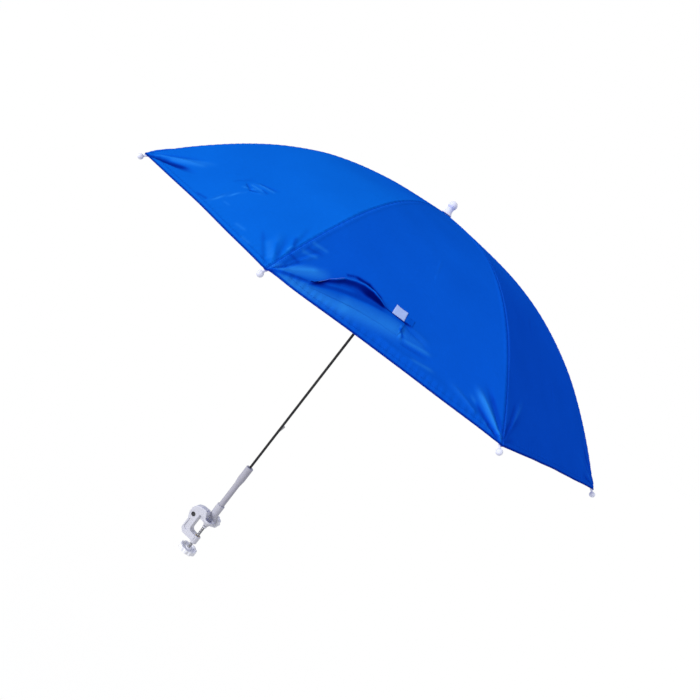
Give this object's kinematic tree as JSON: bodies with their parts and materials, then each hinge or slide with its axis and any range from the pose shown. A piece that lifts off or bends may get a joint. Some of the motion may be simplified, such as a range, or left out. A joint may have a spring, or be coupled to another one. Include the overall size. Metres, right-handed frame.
{
  "type": "stroller parasol",
  "caption": "Folding cloth sunshade on a slim post with a tilting hinge and a screw clamp for a pushchair frame.",
  "frame": {"origin": "centre of the clamp's fixed jaw face, on the screw's axis", "axes": "+Z along the post towards the finial when it stands upright, -X towards the clamp's spine, +Y towards the post's side of the clamp"},
  "size_m": [0.8152, 0.8152, 0.6928],
  "materials": {
    "cloth": "plain woven blue cloth",
    "plastic": "moulded white, satin",
    "label": "bare white woven label",
    "rubber": "light grey, matt",
    "rod": "black, satin",
    "steel": "bright zinc plate",
    "brass": "plain"
  },
  "bodies": {
    "clamp": {"clamp_body": "plastic", "jaw_pad": "rubber", "thread_insert": "brass", "tilt_bolt": "steel"},
    "pad": {"pressure_pad": "plastic"},
    "screw": {"clamp_screw": "steel", "clamp_knob": "plastic"},
    "tilt_knob": {"tilt_knob": "plastic", "tilt_washer": "steel"},
    "post": {"tilt_socket": "plastic", "handle_tube": "plastic", "rod_collar": "plastic", "shaft_rod": "rod", "crown_notch": "plastic", "crown_wire": "steel", "finial": "plastic"},
    "runner": {"runner": "plastic"},
    "upper_catch": {"upper_catch": "steel"},
    "lower_catch": {"lower_catch": "steel"},
    "rib_1": {"rib_1": "steel", "rib_tip_1": "plastic", "canopy_section_1": "cloth"},
    "stretcher_1": {"stretcher_1": "steel"},
    "rib_2": {"rib_2": "steel", "rib_tip_2": "plastic", "canopy_section_2": "cloth"},
    "stretcher_2": {"stretcher_2": "steel"},
    "rib_3": {"rib_3": "steel", "rib_tip_3": "plastic", "canopy_section_3": "cloth"},
    "stretcher_3": {"stretcher_3": "steel"},
    "rib_4": {"rib_4": "steel", "rib_tip_4": "plastic", "canopy_section_4": "cloth"},
    "stretcher_4": {"stretcher_4": "steel"},
    "rib_5": {"rib_5": "steel", "rib_tip_5": "plastic", "canopy_section_5": "cloth"},
    "stretcher_5": {"stretcher_5": "steel"},
    "rib_6": {"rib_6": "steel", "rib_tip_6": "plastic", "canopy_section_6": "cloth"},
    "stretcher_6": {"stretcher_6": "steel"},
    "rib_7": {"rib_7": "steel", "rib_tip_7": "plastic", "canopy_section_7": "cloth", "closing_strap": "cloth", "bare_label": "label"},
    "stretcher_7": {"stretcher_7": "steel"},
    "rib_8": {"rib_8": "steel", "rib_tip_8": "plastic", "canopy_section_8": "cloth", "side_tag": "cloth"},
    "stretcher_8": {"stretcher_8": "steel"}
  },
  "joints": [
    {"name": "jaw_travel", "type": "slide", "parent": "clamp", "child": "pad", "axis": [0, 0, 1], "range_m": [-0.016, 0.002]},
    {"name": "screw_turn", "type": "hinge", "parent": "pad", "child": "screw", "pos_m": [0, 0, -0.04], "axis": [0, 0, 1], "range_deg": [-7210, 910]},
    {"name": "tilt", "type": "hinge", "parent": "clamp", "child": "post", "pos_m": [0.0005, 0.0145, 0.004], "axis": [0, 1, 0], "range_deg": [-90, 90]},
    {"name": "tilt_knob_turn", "type": "hinge", "parent": "clamp", "child": "tilt_knob", "pos_m": [0.0005, 0.0235, 0.004], "axis": [0, 1, 0], "range_deg": [0, 360]},
    {"name": "runner_slide", "type": "slide", "parent": "post", "child": "runner", "axis": [0, 0, 1], "range_m": [-0.32145, 0]},
    {"name": "upper_catch_press", "type": "hinge", "parent": "post", "child": "upper_catch", "pos_m": [-0.004, 0.0145, 0.4804], "axis": [0, 1, 0], "range_deg": [-9.5, 0], "stiffness_Nm_per_rad": 0.05},
    {"name": "lower_catch_press", "type": "hinge", "parent": "post", "child": "lower_catch", "pos_m": [-0.004, 0.0145, 0.1954], "axis": [0, 1, 0], "range_deg": [-9.5, 0], "stiffness_Nm_per_rad": 0.05},
    {"name": "rib_hinge_1", "type": "hinge", "parent": "post", "child": "rib_1", "pos_m": [0.004, 0.0145, 0.6092], "axis": [0, 1, 0], "range_deg": [0, 65], "deforming": ["canopy_section_1"]},
    {"name": "stretcher_hinge_1", "type": "hinge", "parent": "rib_1", "child": "stretcher_1", "pos_m": [0.20547, 0.0145, 0.57132], "axis": [0, 1, 0], "range_deg": [-130, 0]},
    {"name": "rib_hinge_2", "type": "hinge", "parent": "post", "child": "rib_2", "pos_m": [0.00166, 0.02016, 0.6092], "axis": [-0.7071, 0.7071, 0], "range_deg": [0, 65], "deforming": ["canopy_section_2"]},
    {"name": "stretcher_hinge_2", "type": "hinge", "parent": "rib_2", "child": "stretcher_2", "pos_m": [0.14412, 0.16262, 0.57132], "axis": [-0.7071, 0.7071, 0], "range_deg": [-130, 0]},
    {"name": "rib_hinge_3", "type": "hinge", "parent": "post", "child": "rib_3", "pos_m": [-0.004, 0.0225, 0.6092], "axis": [-1, 0, 0], "range_deg": [0, 65], "deforming": ["canopy_section_3"]},
    {"name": "stretcher_hinge_3", "type": "hinge", "parent": "rib_3", "child": "stretcher_3", "pos_m": [-0.004, 0.22397, 0.57132], "axis": [-1, 0, 0], "range_deg": [-130, 0]},
    {"name": "rib_hinge_4", "type": "hinge", "parent": "post", "child": "rib_4", "pos_m": [-0.00966, 0.02016, 0.6092], "axis": [-0.7071, -0.7071, 0], "range_deg": [0, 65], "deforming": ["canopy_section_4"]},
    {"name": "stretcher_hinge_4", "type": "hinge", "parent": "rib_4", "child": "stretcher_4", "pos_m": [-0.15212, 0.16262, 0.57132], "axis": [-0.7071, -0.7071, 0], "range_deg": [-130, 0]},
    {"name": "rib_hinge_5", "type": "hinge", "parent": "post", "child": "rib_5", "pos_m": [-0.012, 0.0145, 0.6092], "axis": [0, -1, 0], "range_deg": [0, 65], "deforming": ["canopy_section_5"]},
    {"name": "stretcher_hinge_5", "type": "hinge", "parent": "rib_5", "child": "stretcher_5", "pos_m": [-0.21347, 0.0145, 0.57132], "axis": [0, -1, 0], "range_deg": [-130, 0]},
    {"name": "rib_hinge_6", "type": "hinge", "parent": "post", "child": "rib_6", "pos_m": [-0.00966, 0.00884, 0.6092], "axis": [0.7071, -0.7071, 0], "range_deg": [0, 65], "deforming": ["canopy_section_6"]},
    {"name": "stretcher_hinge_6", "type": "hinge", "parent": "rib_6", "child": "stretcher_6", "pos_m": [-0.15212, -0.13362, 0.57132], "axis": [0.7071, -0.7071, 0], "range_deg": [-130, 0]},
    {"name": "rib_hinge_7", "type": "hinge", "parent": "post", "child": "rib_7", "pos_m": [-0.004, 0.0065, 0.6092], "axis": [1, 0, 0], "range_deg": [0, 65], "deforming": ["canopy_section_7", "closing_strap", "bare_label"]},
    {"name": "stretcher_hinge_7", "type": "hinge", "parent": "rib_7", "child": "stretcher_7", "pos_m": [-0.004, -0.19497, 0.57132], "axis": [1, 0, 0], "range_deg": [-130, 0]},
    {"name": "rib_hinge_8", "type": "hinge", "parent": "post", "child": "rib_8", "pos_m": [0.00166, 0.00884, 0.6092], "axis": [0.7071, 0.7071, 0], "range_deg": [0, 65], "deforming": ["canopy_section_8", "side_tag"]},
    {"name": "stretcher_hinge_8", "type": "hinge", "parent": "rib_8", "child": "stretcher_8", "pos_m": [0.14412, -0.13362, 0.57132], "axis": [0.7071, 0.7071, 0], "range_deg": [-130, 0]}
  ],
  "couplings": [
    {"joint": "screw_turn", "follows": "jaw_travel", "rad_per_m": 7854},
    {"joint": "rib_hinge_1", "follows": "runner_slide", "rad_per_m": -3.5292},
    {"joint": "stretcher_hinge_1", "follows": "runner_slide", "rad_per_m": 7.0584},
    {"joint": "rib_hinge_2", "follows": "runner_slide", "rad_per_m": -3.5292},
    {"joint": "stretcher_hinge_2", "follows": "runner_slide", "rad_per_m": 7.0584},
    {"joint": "rib_hinge_3", "follows": "runner_slide", "rad_per_m": -3.5292},
    {"joint": "stretcher_hinge_3", "follows": "runner_slide", "rad_per_m": 7.0584},
    {"joint": "rib_hinge_4", "follows": "runner_slide", "rad_per_m": -3.5292},
    {"joint": "stretcher_hinge_4", "follows": "runner_slide", "rad_per_m": 7.0584},
    {"joint": "rib_hinge_5", "follows": "runner_slide", "rad_per_m": -3.5292},
    {"joint": "stretcher_hinge_5", "follows": "runner_slide", "rad_per_m": 7.0584},
    {"joint": "rib_hinge_6", "follows": "runner_slide", "rad_per_m": -3.5292},
    {"joint": "stretcher_hinge_6", "follows": "runner_slide", "rad_per_m": 7.0584},
    {"joint": "rib_hinge_7", "follows": "runner_slide", "rad_per_m": -3.5292},
    {"joint": "stretcher_hinge_7", "follows": "runner_slide", "rad_per_m": 7.0584},
    {"joint": "rib_hinge_8", "follows": "runner_slide", "rad_per_m": -3.5292},
    {"joint": "stretcher_hinge_8", "follows": "runner_slide", "rad_per_m": 7.0584}
  ]
}
